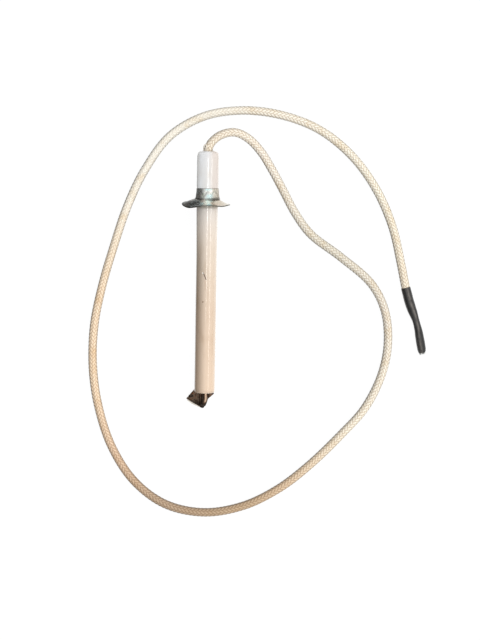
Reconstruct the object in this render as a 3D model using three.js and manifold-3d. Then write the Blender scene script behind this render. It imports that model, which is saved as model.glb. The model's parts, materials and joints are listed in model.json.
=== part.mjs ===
// Flame sensor probe: a glazed ceramic electrode holder with a dished steel flange, a sheet-metal
// sensing flag on its rod, and a braided lead that ends in a sleeved push-on terminal.
//
// Units are millimetres, +Z is up. The probe lies on the plane z = 0: the rim of the flange and the
// hot end of the ceramic touch it. +Y runs along the probe towards the lead, +X is to its right.
// A station is a distance along the probe's own axis, counted from the hot end of the ceramic.
// A run is a distance along the sleeve's own axis, counted from where the braid enters it.

import * as THREE from 'three';
import { mergeVertices } from 'three/addons/utils/BufferGeometryUtils.js';
import Module from 'manifold-3d';

const wasm = await Module();
wasm.setup();

// ---------------------------------------------------------------- driving dimensions

const GAP = 0.3; // clearance kept between neighbouring pieces

// Ceramic insulator
const CERAMIC_LENGTH = 118;
const HOT_RADIUS = 5; // shank, towards the flame
const HEAD_RADIUS = 5.35; // head, towards the lead
const SHOULDER_RADIUS = 5.3; // where the taper meets the flange
const TAPER_START = 67;
const TAPER_END = 90.5;
const HOT_EDGE = 1.2; // rounding of the hot end
const HEAD_EDGE = 1.6; // rounding of the lead end
const GROOVE_START = 92.7;
const GROOVE_END = 100;
const GROOVE_RADIUS = 4.5;
const CHAMFER = 0.3;
const POT_RADIUS = 2.9; // recess for the cement at the hot end
const POT_DEPTH = 5.3;
const MOUTH_RADIUS = 3.1; // recess for the cement at the lead end
const MOUTH_DEPTH = 5.3;
const CABLE_BORE_RADIUS = 2.4;
const CABLE_BORE_START = 86;

// Flange plate and collar
const FLANGE_RADIUS = 11.75;
const SHEET = 0.8; // plate thickness
const LIP_STATION = 91.6; // hot side of the flat outer lip
const LIP_INNER_RADIUS = 9.3;
const SEAT_STATION = 94.6; // lead side of the flat inner ring
const SEAT_OUTER_RADIUS = 6.7;
const PLATE_HOLE_RADIUS = 5.7;
const COLLAR_TOP = 99.7;
const COLLAR_BOTTOM = 93;
const COLLAR_TOP_RADIUS = 5.2;
const COLLAR_WAIST_RADIUS = 5.35;
const COLLAR_BASE_RADIUS = 5.85;
const COLLAR_LIP_RADIUS = 6.1; // rolled edge under the plate
const COLLAR_LIP_THICKNESS = 0.4;

// Electrode rod, sensing flag and splice
const ROD_RADIUS = 1.25;
const ROD_INNER_END = 96;
const ROD_BEND_START = -1;
const ROD_TIP = [-0.85, -6.7]; // x and station of the bent tip
const FLAG_THICKNESS = 0.5;
const FLAG_TOP_CLEARANCE = 0.35;
const FLAG_HOLE = [-7.3, -2.2]; // x and station
const FLAG_HOLE_RADIUS = 0.55;
const FLAG_BLANK = 14; // length of the uncut sheet, and depth of the tools that trim it
const FLAG_BLANK_TOP = 4; // station of the uncut sheet's upper end
const FERRULE_OUTER_RADIUS = 2;
const FERRULE_INNER_RADIUS = ROD_RADIUS + GAP;
const FERRULE_START = 90;
const FERRULE_END = 104;

// Lead: conductor, insulation and braid
const CONDUCTOR_RADIUS = 0.6;
const INSULATION_INNER_RADIUS = 0.9;
const INSULATION_OUTER_RADIUS = 1.5;
const BRAID_INNER_RADIUS = 1.75;
const BRAID_OUTER_RADIUS = 2;
const LEAD_SIDES = 8;
const LEAD_STEPS = 76;
const CONDUCTOR_START = 98.5; // stations where each layer begins inside the ceramic
const INSULATION_START = 105.5;
const BRAID_START = 110;

// Heat-shrink sleeve and terminal
const SLEEVE_LENGTH = 33;
const SLEEVE_WALL = 0.2;
const SLEEVE_START = [97.7, -2.4]; // x and y where the braid enters the sleeve
const SLEEVE_HEADING = 15.3; // degrees from -Y towards +X
const SLEEVE_RADIUS = 2.4;
const BRAID_RUN = 8; // runs where each layer ends inside the sleeve
const INSULATION_RUN = 15;
const CONDUCTOR_RUN = 21;
const BARREL_START = 17;
const BARREL_END = 21.6;
const BARREL_OUTER_RADIUS = 1.35;
const BARREL_INNER_RADIUS = CONDUCTOR_RADIUS + GAP;
const RECEPTACLE_START = 22.6;
const RECEPTACLE_END = 33.7;
const RECEPTACLE_HALF_WIDTH = 1.35; // to the middle of the sheet
const RECEPTACLE_FLOOR = -0.7;
const TERMINAL_SHEET = 0.3;
const BRIDGE_WIDTH = 1.6; // strip that joins the crimp barrel to the receptacle
const BRIDGE_THICKNESS = 0.4;
const BRIDGE_OVERLAP = 0.6;
const BRIDGE_DROP = 0.3;

// How the probe lies: the flange lip and the rounded hot end both touch z = 0
const LEVER = LIP_STATION - HOT_EDGE;
const RISE = FLANGE_RADIUS - (HOT_RADIUS - HOT_EDGE);
const TILT = Math.atan2(RISE, LEVER) - Math.asin(HOT_EDGE / Math.hypot(RISE, LEVER));
const AXIS_HEIGHT = HOT_EDGE * (1 - Math.sin(TILT)) + (HOT_RADIUS - HOT_EDGE) * Math.cos(TILT);
const HOT_END_Y = -55.25; // puts the middle of the probe's length over the origin

// Free route of the lead: out of the ceramic, down to the surface, and round the probe
const FREE_ROUTE = [
  [1.2, 66.0, 13.6],
  [6.0, 70.1, 13.5],
  [12.6, 71.5, 12.7],
  [19.0, 68.9, 11.1],
  [25.6, 62.4, 8.1],
  [31.2, 53.8, 4.9],
  [36.2, 45.0, 2.9],
  [42.6, 33.4, 2.1],
  [50.5, 23.0, 2.05],
  [65.5, 12.0, 2.05],
  [80.5, -0.6, 2.05],
  [87.3, -13.0, 2.05],
  [89.4, -28.5, 2.05],
  [87.0, -44.0, 2.05],
  [79.0, -61.4, 2.05],
  [67.2, -75.2, 2.05],
  [52.0, -90.4, 2.05],
  [37.5, -102.0, 2.05],
  [20.0, -111.0, 2.05],
  [0.5, -114.6, 2.05],
  [-18.5, -110.8, 2.05],
  [-33.8, -99.8, 2.05],
  [-45.0, -83.2, 2.05],
  [-52.0, -63.0, 2.05],
  [-55.0, -43.0, 2.05],
  [-54.5, -23.0, 2.05],
  [-50.8, -3.5, 2.05],
  [-45.5, 15.5, 2.05],
  [-39.4, 34.5, 2.05],
  [-31.0, 52.8, 2.05],
  [-19.0, 69.5, 2.05],
  [-2.5, 79.4, 2.05],
  [16.0, 82.6, 2.05],
  [35.5, 80.6, 2.05],
  [54.0, 73.8, 2.05],
  [69.8, 61.6, 2.05],
  [82.0, 45.6, 2.05],
  [90.3, 27.6, 2.1],
  [95.1, 8.6, 2.25],
];

// ---------------------------------------------------------------- geometry helpers

function toSolid(geometry) {
  const bare = geometry.clone();
  bare.deleteAttribute('normal');
  bare.deleteAttribute('uv');
  const merged = mergeVertices(bare);
  const vertProperties = merged.attributes.position.array;
  const triVerts = new Uint32Array(merged.index.array);
  return new wasm.Manifold(new wasm.Mesh({ numProp: 3, vertProperties, triVerts }));
}

function toGeometry(solid) {
  const { vertProperties, triVerts } = solid.getMesh();
  const geometry = new THREE.BufferGeometry();
  geometry.setAttribute('position', new THREE.BufferAttribute(vertProperties, 3));
  geometry.setIndex(new THREE.BufferAttribute(triVerts, 1));
  geometry.computeVertexNormals();
  return geometry;
}

// Points of a quarter round in a lathe profile, from one angle (degrees) to another.
function roundedCorner(radius, station, edge, from, to) {
  const steps = 4;
  const points = [];
  for (let i = 0; i <= steps; i += 1) {
    const angle = THREE.MathUtils.degToRad(from + ((to - from) * i) / steps);
    points.push([radius + edge * Math.cos(angle), station + edge * Math.sin(angle)]);
  }
  return points;
}

// Solid of revolution about +Y from a closed profile of [radius, station] pairs.
function turned(profile, segments) {
  const points = [...profile, profile[0]].map(([radius, station]) => new THREE.Vector2(radius, station));
  return new THREE.LatheGeometry(points, segments);
}

function ring(innerRadius, outerRadius, start, end, segments) {
  const profile = [[innerRadius, start], [outerRadius, start], [outerRadius, end], [innerRadius, end]];
  return turned(profile, segments);
}

function regularPolygon(radius, sides) {
  const points = [];
  for (let i = 0; i < sides; i += 1) {
    const angle = (2 * Math.PI * i) / sides;
    points.push(new THREE.Vector2(radius * Math.cos(angle), radius * Math.sin(angle)));
  }
  return points;
}

// Closed strip of constant thickness that follows a 2-D curve.
function ribbon(curve, thickness, steps) {
  const left = [];
  const right = [];
  for (let i = 0; i <= steps; i += 1) {
    const point = curve.getPointAt(i / steps);
    const tangent = curve.getTangentAt(i / steps);
    const offset = new THREE.Vector2(-tangent.y, tangent.x).multiplyScalar(thickness / 2);
    left.push(point.clone().add(offset));
    right.unshift(point.clone().sub(offset));
  }
  return new THREE.Shape([...left, ...right]);
}

function spline(pairs) {
  return new THREE.SplineCurve(pairs.map(([x, y]) => new THREE.Vector2(x, y)));
}

function finish(color, roughness, metalness) {
  return new THREE.MeshStandardMaterial({ color, roughness, metalness });
}

function piece(name, geometry, material) {
  const mesh = new THREE.Mesh(geometry, material);
  mesh.name = name;
  return mesh;
}

// ---------------------------------------------------------------- ceramic insulator and cement

function ceramicGeometry() {
  const boreRadius = ROD_RADIUS + GAP;
  const profile = [
    [POT_RADIUS, 0],
    ...roundedCorner(HOT_RADIUS - HOT_EDGE, HOT_EDGE, HOT_EDGE, -90, 0),
    [HOT_RADIUS, TAPER_START],
    [SHOULDER_RADIUS, TAPER_END],
    [SHOULDER_RADIUS, GROOVE_START - CHAMFER],
    [SHOULDER_RADIUS - CHAMFER, GROOVE_START],
    [GROOVE_RADIUS, GROOVE_START],
    [GROOVE_RADIUS, GROOVE_END],
    [HEAD_RADIUS - CHAMFER, GROOVE_END],
    [HEAD_RADIUS, GROOVE_END + CHAMFER],
    ...roundedCorner(HEAD_RADIUS - HEAD_EDGE, CERAMIC_LENGTH - HEAD_EDGE, HEAD_EDGE, 0, 90),
    [MOUTH_RADIUS, CERAMIC_LENGTH],
    [MOUTH_RADIUS, CERAMIC_LENGTH - MOUTH_DEPTH],
    [CABLE_BORE_RADIUS, CERAMIC_LENGTH - MOUTH_DEPTH],
    [CABLE_BORE_RADIUS, CABLE_BORE_START],
    [boreRadius, CABLE_BORE_START],
    [boreRadius, POT_DEPTH],
    [POT_RADIUS, POT_DEPTH],
  ];
  return turned(profile, 32);
}

function tipCementGeometry() {
  return ring(ROD_RADIUS + GAP, POT_RADIUS - GAP, GAP, POT_DEPTH - GAP, 20);
}

function mouthCementGeometry() {
  const start = CERAMIC_LENGTH - MOUTH_DEPTH + GAP;
  return ring(BRAID_OUTER_RADIUS + GAP, MOUTH_RADIUS - GAP, start, CERAMIC_LENGTH - GAP, 20);
}

// ---------------------------------------------------------------- flange

function flangePlateGeometry() {
  const lipTop = LIP_STATION + SHEET;
  const seatBottom = SEAT_STATION - SHEET;
  const profile = [
    [PLATE_HOLE_RADIUS, seatBottom],
    [SEAT_OUTER_RADIUS - SHEET / 2, seatBottom],
    [LIP_INNER_RADIUS - SHEET / 2, LIP_STATION],
    [FLANGE_RADIUS, LIP_STATION],
    [FLANGE_RADIUS, lipTop],
    [LIP_INNER_RADIUS, lipTop],
    [SEAT_OUTER_RADIUS, SEAT_STATION],
    [PLATE_HOLE_RADIUS, SEAT_STATION],
  ];
  return turned(profile, 48);
}

function flangeCollarGeometry() {
  const boreRadius = GROOVE_RADIUS + GAP;
  const spigotRadius = PLATE_HOLE_RADIUS - GAP;
  const base = SEAT_STATION + GAP;
  const profile = [
    [boreRadius, COLLAR_BOTTOM],
    [COLLAR_LIP_RADIUS, COLLAR_BOTTOM],
    [COLLAR_LIP_RADIUS, COLLAR_BOTTOM + COLLAR_LIP_THICKNESS],
    [spigotRadius, COLLAR_BOTTOM + COLLAR_LIP_THICKNESS],
    [spigotRadius, base],
    [COLLAR_BASE_RADIUS, base],
    [COLLAR_BASE_RADIUS, base + SHEET],
    [COLLAR_WAIST_RADIUS, (base + COLLAR_TOP) / 2],
    [COLLAR_TOP_RADIUS, COLLAR_TOP],
    [boreRadius, COLLAR_TOP],
  ];
  return turned(profile, 32);
}

// ---------------------------------------------------------------- electrode rod, flag and splice

function electrodeRodGeometry() {
  const straightEnd = new THREE.Vector3(0, ROD_BEND_START, 0);
  const tip = new THREE.Vector3(ROD_TIP[0], ROD_TIP[1], 0);
  const knee = new THREE.Vector3(0, (ROD_BEND_START + ROD_TIP[1]) / 2, 0);
  const path = new THREE.CurvePath();
  path.add(new THREE.LineCurve3(new THREE.Vector3(0, ROD_INNER_END, 0), straightEnd));
  path.add(new THREE.QuadraticBezierCurve3(straightEnd, knee, tip));
  const section = new THREE.Shape(regularPolygon(ROD_RADIUS, 10));
  return new THREE.ExtrudeGeometry(section, { steps: 36, extrudePath: path });
}

// Outline of the flag from above: x and station.
function flagOutlineShape() {
  const top = -FLAG_TOP_CLEARANCE;
  const outline = [
    [-4.6, top],
    [-4.6, 1.4],
    [-9.1, -3.0],
    [-5.4, -4.9],
    [-1.9, -7.3],
    [-0.6, -7.6],
    [1.9, -2.6],
    [4.4, -0.6],
    [4.4, top],
  ];
  return new THREE.Shape(outline.map(([x, y]) => new THREE.Vector2(x, y)));
}

// The sheet seen along the probe: a wide left leaf, a trough under the rod, and a short right wing.
function flagSectionShape() {
  const trough = -(ROD_RADIUS + GAP + FLAG_THICKNESS / 2);
  const centreLine = spline([
    [-9.4, -3.7],
    [-7.0, -3.3],
    [-4.6, -2.75],
    [-2.6, -2.2],
    [-1.2, trough - 0.1],
    [0, trough],
    [1.1, trough + 0.2],
    [1.9, -0.9],
    [2.8, -0.55],
    [3.8, -0.8],
    [4.8, -1.3],
  ]);
  return ribbon(centreLine, FLAG_THICKNESS, 30);
}

function sensingFlagGeometry() {
  const blank = { depth: FLAG_BLANK, bevelEnabled: false };
  const sheet = new THREE.ExtrudeGeometry(flagSectionShape(), blank);
  // the section lies in x and z, and the sheet runs along the probe
  sheet.rotateX(Math.PI / 2);
  sheet.translate(0, FLAG_BLANK_TOP, 0);
  const outline = new THREE.ExtrudeGeometry(flagOutlineShape(), blank);
  outline.translate(0, 0, -FLAG_BLANK / 2);
  const hole = new THREE.CylinderGeometry(FLAG_HOLE_RADIUS, FLAG_HOLE_RADIUS, FLAG_BLANK, 12);
  hole.rotateX(Math.PI / 2);
  hole.translate(FLAG_HOLE[0], FLAG_HOLE[1], 0);
  return toGeometry(toSolid(sheet).intersect(toSolid(outline)).subtract(toSolid(hole)));
}

function spliceFerruleGeometry() {
  return ring(FERRULE_INNER_RADIUS, FERRULE_OUTER_RADIUS, FERRULE_START, FERRULE_END, 20);
}

// ---------------------------------------------------------------- lead

function onProbeAxis(station) {
  const y = HOT_END_Y + station * Math.cos(TILT);
  const z = AXIS_HEIGHT + station * Math.sin(TILT);
  return new THREE.Vector3(0, y, z);
}

function onSleeveAxis(run) {
  const heading = THREE.MathUtils.degToRad(SLEEVE_HEADING);
  const x = SLEEVE_START[0] + run * Math.sin(heading);
  const y = SLEEVE_START[1] - run * Math.cos(heading);
  return new THREE.Vector3(x, y, SLEEVE_RADIUS);
}

function leadPath() {
  const points = [
    onProbeAxis(CONDUCTOR_START),
    onProbeAxis((CONDUCTOR_START + CERAMIC_LENGTH) / 2),
    onProbeAxis(CERAMIC_LENGTH),
    ...FREE_ROUTE.map(([x, y, z]) => new THREE.Vector3(x, y, z)),
    onSleeveAxis(0),
    onSleeveAxis(CONDUCTOR_RUN / 2),
    onSleeveAxis(CONDUCTOR_RUN),
  ];
  const path = new THREE.CatmullRomCurve3(points, false, 'centripetal');
  path.arcLengthDivisions = 2000;
  return path;
}

// One layer of the lead over its whole length. All layers share the path and its steps.
function leadLayer(innerRadius, outerRadius) {
  const section = new THREE.Shape(regularPolygon(outerRadius, LEAD_SIDES));
  if (innerRadius > 0) {
    section.holes.push(new THREE.Path(regularPolygon(innerRadius, LEAD_SIDES)));
  }
  return new THREE.ExtrudeGeometry(section, { steps: LEAD_STEPS, extrudePath: leadPath() });
}

// A layer cut back from both ends of the conductor, as it is when the lead is stripped.
function strippedLayer(innerRadius, outerRadius, station, run) {
  const cutter = outerRadius + 1;
  const overrun = 2;
  const probeCut = ring(0, cutter, CONDUCTOR_START - overrun, station, 12);
  placeOnProbe(probeCut);
  const sleeveCut = ring(0, cutter, run, CONDUCTOR_RUN + overrun, 12);
  placeOnSleeve(sleeveCut);
  const layer = toSolid(leadLayer(innerRadius, outerRadius));
  return toGeometry(layer.subtract(toSolid(probeCut)).subtract(toSolid(sleeveCut)));
}

function probeMatrix() {
  const matrix = new THREE.Matrix4().makeRotationX(TILT);
  return matrix.setPosition(0, HOT_END_Y, AXIS_HEIGHT);
}

function sleeveMatrix() {
  const angle = THREE.MathUtils.degToRad(SLEEVE_HEADING) + Math.PI;
  const matrix = new THREE.Matrix4().makeRotationZ(angle);
  return matrix.setPosition(SLEEVE_START[0], SLEEVE_START[1], SLEEVE_RADIUS);
}

function placeOnProbe(geometry) {
  geometry.applyMatrix4(probeMatrix());
}

function placeOnSleeve(geometry) {
  geometry.applyMatrix4(sleeveMatrix());
}

// ---------------------------------------------------------------- sleeve and terminal

function heatShrinkGeometry() {
  // outer radius along the run: full over the braid, necked in at the crimp, full over the terminal
  const outer = [
    [SLEEVE_RADIUS, 0],
    [SLEEVE_RADIUS, 8.5],
    [2.1, 12.5],
    [2.0, 15.6],
    [1.8, 17.4],
    [1.85, 21],
    [2.15, 24],
    [2.2, 30.5],
    [2.1, 32.4],
    [1.95, SLEEVE_LENGTH],
  ];
  const inner = outer.map(([radius, run]) => [radius - SLEEVE_WALL, run]).reverse();
  return turned([...outer, ...inner], 24);
}

// The push-on receptacle seen along the sleeve: a floor with two edges rolled over the tab.
function receptacleSection() {
  const half = RECEPTACLE_HALF_WIDTH;
  const floor = RECEPTACLE_FLOOR;
  return ribbon(spline([
    [-0.5, floor + 0.95],
    [-1.1, floor + 1.2],
    [-half, floor + 0.6],
    [-1.1, floor],
    [0, floor],
    [1.1, floor],
    [half, floor + 0.6],
    [1.1, floor + 1.2],
    [0.5, floor + 0.95],
  ]), TERMINAL_SHEET, 24);
}

function terminalGeometry() {
  const barrel = ring(BARREL_INNER_RADIUS, BARREL_OUTER_RADIUS, BARREL_START, BARREL_END, 20);
  const depth = RECEPTACLE_END - RECEPTACLE_START;
  const receptacle = new THREE.ExtrudeGeometry(receptacleSection(), { depth, bevelEnabled: false });
  receptacle.rotateX(Math.PI / 2);
  receptacle.translate(0, RECEPTACLE_END, 0);
  const bridgeLength = RECEPTACLE_START - BARREL_END + 2 * BRIDGE_OVERLAP;
  const bridge = new THREE.BoxGeometry(BRIDGE_WIDTH, bridgeLength, BRIDGE_THICKNESS);
  bridge.translate(0, (RECEPTACLE_START + BARREL_END) / 2, RECEPTACLE_FLOOR - BRIDGE_DROP);
  return toGeometry(toSolid(barrel).add(toSolid(bridge)).add(toSolid(receptacle)));
}

// ---------------------------------------------------------------- assembly

const glaze = finish(0xece6dc, 0.18, 0);
const cement = finish(0xd8cfbf, 0.9, 0);
const zinc = finish(0xb9bdb4, 0.3, 1);
const oxidisedSteel = finish(0x4b3e34, 0.6, 0.7);
const brightSteel = finish(0xb8b4ac, 0.3, 1);
const tinnedCopper = finish(0xc6c2ba, 0.4, 1);
const silicone = finish(0xd9d2c6, 0.6, 0);
const fibreglass = finish(0xe9ddc6, 0.85, 0);
const blackSleeve = finish(0x1d1c1b, 0.45, 0);

const probe = new THREE.Group();
probe.add(
  piece('ceramic_insulator', ceramicGeometry(), glaze),
  piece('tip_cement', tipCementGeometry(), cement),
  piece('mouth_cement', mouthCementGeometry(), cement),
  piece('flange_plate', flangePlateGeometry(), zinc),
  piece('flange_collar', flangeCollarGeometry(), zinc),
  piece('electrode_rod', electrodeRodGeometry(), oxidisedSteel),
  piece('sensing_flag', sensingFlagGeometry(), oxidisedSteel),
  piece('splice_ferrule', spliceFerruleGeometry(), brightSteel),
);
probe.applyMatrix4(probeMatrix());

const lead = new THREE.Group();
lead.add(
  piece('lead_conductor', leadLayer(0, CONDUCTOR_RADIUS), tinnedCopper),
  piece(
    'lead_insulation',
    strippedLayer(INSULATION_INNER_RADIUS, INSULATION_OUTER_RADIUS, INSULATION_START, INSULATION_RUN),
    silicone,
  ),
  piece(
    'lead_braid',
    strippedLayer(BRAID_INNER_RADIUS, BRAID_OUTER_RADIUS, BRAID_START, BRAID_RUN),
    fibreglass,
  ),
);

const leadEnd = new THREE.Group();
leadEnd.add(
  piece('heat_shrink_sleeve', heatShrinkGeometry(), blackSleeve),
  piece('terminal', terminalGeometry(), brightSteel),
);
leadEnd.applyMatrix4(sleeveMatrix());

const flameSensorProbe = new THREE.Group();
flameSensorProbe.name = 'flame_sensor_probe';
flameSensorProbe.add(probe, lead, leadEnd);

export default flameSensorProbe;
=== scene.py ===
"""Flame sensor probe: its looks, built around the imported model.

Units are metres and +Z is up. The probe lies on the floor with its lead towards +Y.
A station is a distance along the probe's own axis, counted from the hot end of the ceramic.
A run is a distance along the sleeve's own axis, counted from where the braid enters it.
"""

import json
import math

import bmesh
import bpy
import numpy as np
from mathutils import Matrix, Vector, noise


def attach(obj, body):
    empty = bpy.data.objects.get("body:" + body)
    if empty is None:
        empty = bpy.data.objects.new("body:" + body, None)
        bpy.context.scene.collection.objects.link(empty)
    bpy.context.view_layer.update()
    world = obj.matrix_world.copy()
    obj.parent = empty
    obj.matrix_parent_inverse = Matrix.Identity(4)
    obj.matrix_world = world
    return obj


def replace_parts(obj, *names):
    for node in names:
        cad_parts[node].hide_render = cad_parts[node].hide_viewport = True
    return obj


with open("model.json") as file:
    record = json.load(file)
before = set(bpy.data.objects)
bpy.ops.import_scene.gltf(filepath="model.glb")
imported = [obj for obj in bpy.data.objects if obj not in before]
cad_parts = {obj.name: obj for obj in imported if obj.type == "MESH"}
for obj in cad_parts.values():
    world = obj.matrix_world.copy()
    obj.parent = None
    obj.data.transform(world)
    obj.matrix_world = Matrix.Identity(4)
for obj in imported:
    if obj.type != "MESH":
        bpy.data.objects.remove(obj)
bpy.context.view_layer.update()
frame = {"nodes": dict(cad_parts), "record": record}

MM = 0.001

# ---------------------------------------------------------------- places taken from the frame

BACK_MOUNT_STATION = 92.4 * MM  # the flange_back mount lies on the lead side of the flange's lip

back_mount = next(m for m in frame["record"]["mounts"] if m["name"] == "flange_back")
AXIS_Y, AXIS_Z = back_mount["axis"][1:]
HOT_END = Vector((0, *back_mount["pos_m"][1:])) - BACK_MOUNT_STATION * Vector((0, AXIS_Y, AXIS_Z))
PROBE = Matrix((
    (1, 0, 0, 0),
    (0, AXIS_Y, -AXIS_Z, HOT_END.y),
    (0, AXIS_Z, AXIS_Y, HOT_END.z),
    (0, 0, 0, 1),
))

# ---------------------------------------------------------------- driving dimensions

# Ceramic insulator
CERAMIC_LENGTH = 118 * MM
HOT_RADIUS = 5 * MM
HEAD_RADIUS = 5.35 * MM
SHOULDER_RADIUS = 5.3 * MM
TAPER_START = 67 * MM
TAPER_END = 90.5 * MM
GROOVE_START = 92.7 * MM
GROOVE_END = 100 * MM
GROOVE_RADIUS = 4.5 * MM
POT_RADIUS = 2.9 * MM  # the wide end of the bore, which the cement fills round the rod
POT_DEPTH = 5.3 * MM
MOUTH_RADIUS = 3.1 * MM
MOUTH_DEPTH = 5.3 * MM
CABLE_BORE_RADIUS = 2.4 * MM
CABLE_BORE_START = 86 * MM
ROD_BORE_RADIUS = 1.55 * MM
GLAZE_WAVE = 0.012 * MM  # how uneven the glaze is

# Marks on the glaze: a stroke from one (x, station) to another, and its width, in millimetres
SCRATCH = ((-1.31, 59.1), (-0.05, 56.1), 0.34)
CHIP = ((-1.75, 59.3), (-1.5, 58.8), 0.3)
SMEAR = ((-0.5, 56), (-0.25, 51), 0.45)
SPOT = ((-1.45, 45), (-1.35, 45.1), 0.5)

# Flange
FLANGE_RADIUS = 11.75 * MM
PLATE_HOLE = 5.5 * MM
PLATE_BEND = 5.8 * MM  # the radius from which the plate is bent out of true
SHEET = 0.55 * MM
LIP_STATION = 91.6 * MM
LIP_TOP = LIP_STATION + 0.8 * MM
LIP_INNER = FLANGE_RADIUS - 1.6 * MM
LIP_RISE = 0.35 * MM  # how far the lip's inner edge stands above its rim
SEAT_STATION = 94.6 * MM
RIM_OFFSET = -0.65 * MM  # the rim sits a little to the left of the axis
RIM_RISE = (
    0.01, 0.07, 0.21, 0.35, 0.43, 0.1, -0.25, -0.6, -1.05, -1.45, -1.05, -0.3,
    0.15, 0.15, 0.0, -0.1, 0.1, 0.3, 0.26, 0.22, 0.19, 0.15, 0.09, 0.03,
)  # how far the rim is bent towards the lead, every 15 degrees round from the floor by way of -X

# Collar of the flange
NECK_INNER = 4.75 * MM
NECK_FOOT = 95.2 * MM
COLLAR_TOP = 99.92 * MM
CRIMPS = 9
CRIMP_DEPTH = 0.17 * MM
CRIMP_WIDTH = 0.17  # as a share of the neck's height

# Electrode rod and flag
ROD_RADIUS = 1.25 * MM
ROD_INNER_END = 96 * MM
ROD_TIP = (-0.75 * MM, -6.6 * MM)  # x and station
ROD_ROUNDING = 0.5 * MM
WORN_SIDE = math.radians(12)  # where the painted highlight runs along the rod, from the top towards +X
FLAG_THICKNESS = 0.36 * MM
LEAF_DROP = 0.8 * MM  # how far the flag's lower leaf lies under its upper one

# Lead
BRAID_START = 110 * MM
INSULATION_START = 105.5 * MM
CONDUCTOR_START = 98.5 * MM
INSULATION_RADIUS = 1.5 * MM
CONDUCTOR_RADIUS = 0.6 * MM
YARN_RADIUS = 0.3 * MM
GROOVE_TO_AXIS = 1.93 * MM  # from the lead's axis to the grooves between the strands
CROWN_HEIGHT = 0.19 * MM  # how far the strands stand above the grooves
BRAID_INNER = 1.62 * MM
STRANDS = 8  # carriers each way
STRAND_PITCH = 1.9 * MM  # spacing of neighbouring strands along the lead
CELL_STEPS = 4  # mesh steps across one strand
LEAD_HEIGHT = 2.05  # of the lead's axis where it lies on the floor, in millimetres

# Sleeve
SLEEVE_START = Vector((97.7, -2.4, 2.4)) * MM
SLEEVE_HEADING = math.radians(15.3)  # from -Y towards +X
SLEEVE_LENGTH = 33 * MM
SLEEVE_WALL = 0.3 * MM
BRAID_RUN = 8 * MM
INSULATION_RUN = 15 * MM
CONDUCTOR_RUN = 21 * MM
BOW = 0.88 * MM  # the sleeve bows sideways at the crimp
BOW_START = 5.5 * MM
BOW_CREST = (18 * MM, 22.5 * MM)
BOW_END = 34 * MM
SLEEVE_OFFSET = 0.22 * MM  # the sleeve lies this far to the left of its straight axis

SLEEVE = Matrix((
    (-math.cos(SLEEVE_HEADING), math.sin(SLEEVE_HEADING), 0, SLEEVE_START.x),
    (-math.sin(SLEEVE_HEADING), -math.cos(SLEEVE_HEADING), 0, SLEEVE_START.y),
    (0, 0, 1, SLEEVE_START.z),
    (0, 0, 0, 1),
))

# Free route of the lead in millimetres: out of the ceramic, down to the floor, and round the probe
ON_FLOOR = (
    (50.5, 23.0), (65.5, 12.0), (80.5, -0.6), (87.3, -13.0), (89.4, -28.5), (87.0, -44.0),
    (79.0, -61.4), (67.2, -75.2), (52.0, -90.4), (37.5, -102.0), (20.0, -111.0), (0.5, -114.6),
    (-18.5, -110.8), (-33.8, -99.8), (-45.0, -83.2), (-52.0, -63.0), (-55.0, -43.0), (-54.5, -23.0),
    (-50.8, -3.5), (-45.5, 15.5), (-39.4, 34.5), (-31.0, 52.8), (-19.0, 69.5), (-2.5, 79.4),
    (16.0, 82.6), (35.5, 80.6), (54.0, 73.8), (69.8, 61.6), (82.0, 45.6),
)
FREE_ROUTE = (
    (1.2, 66.0, 13.6), (6.0, 70.1, 13.5), (12.6, 71.5, 12.7), (19.0, 68.9, 11.1),
    (25.6, 62.4, 8.1), (31.2, 53.8, 4.9), (36.2, 45.0, 2.9), (42.6, 33.4, 2.1),
    *((x, y, LEAD_HEIGHT) for x, y in ON_FLOOR),
    (90.3, 27.6, 2.1), (95.1, 8.6, 2.25),
)


def on_probe(x, station, z=0.0):
    """A point given beside the probe's axis, in the row frame."""
    return PROBE @ Vector((x, station, z))


def bow(run):
    """How far the sleeve's middle stands to the right of its straight axis."""
    rise = np.clip((run - BOW_START) / (BOW_CREST[0] - BOW_START), 0, 1)
    fall = np.clip((BOW_END - run) / (BOW_END - BOW_CREST[1]), 0, 1)
    return BOW * rise * rise * (3 - 2 * rise) * fall - SLEEVE_OFFSET


def on_sleeve(run):
    """A point on the sleeve's bowed middle line, in the row frame."""
    return SLEEVE @ Vector((-bow(run), run, 0))


# ---------------------------------------------------------------- smooth lines


def catmull_rom(points, samples=48):
    """Centripetal Catmull-Rom curve through the points."""
    points = np.asarray(points, float)
    padded = np.vstack([2 * points[0] - points[1], points, 2 * points[-1] - points[-2]])
    t = np.linspace(0, 1, samples, endpoint=False)[:, None]
    pieces = []
    for before, start, end, after in zip(padded, padded[1:], padded[2:], padded[3:]):
        d0 = np.linalg.norm(start - before) ** 0.5
        d1 = np.linalg.norm(end - start) ** 0.5
        d2 = np.linalg.norm(after - end) ** 0.5
        leave = (start - before) / d0 - (end - before) / (d0 + d1) + (end - start) / d1
        arrive = (end - start) / d1 - (after - start) / (d1 + d2) + (after - end) / d2
        leave, arrive = leave * d1, arrive * d1
        square = 3 * (end - start) - 2 * leave - arrive
        cube = 2 * (start - end) + leave + arrive
        pieces.append(start + t * leave + t**2 * square + t**3 * cube)
    return np.vstack([*pieces, points[-1:]])


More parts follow.
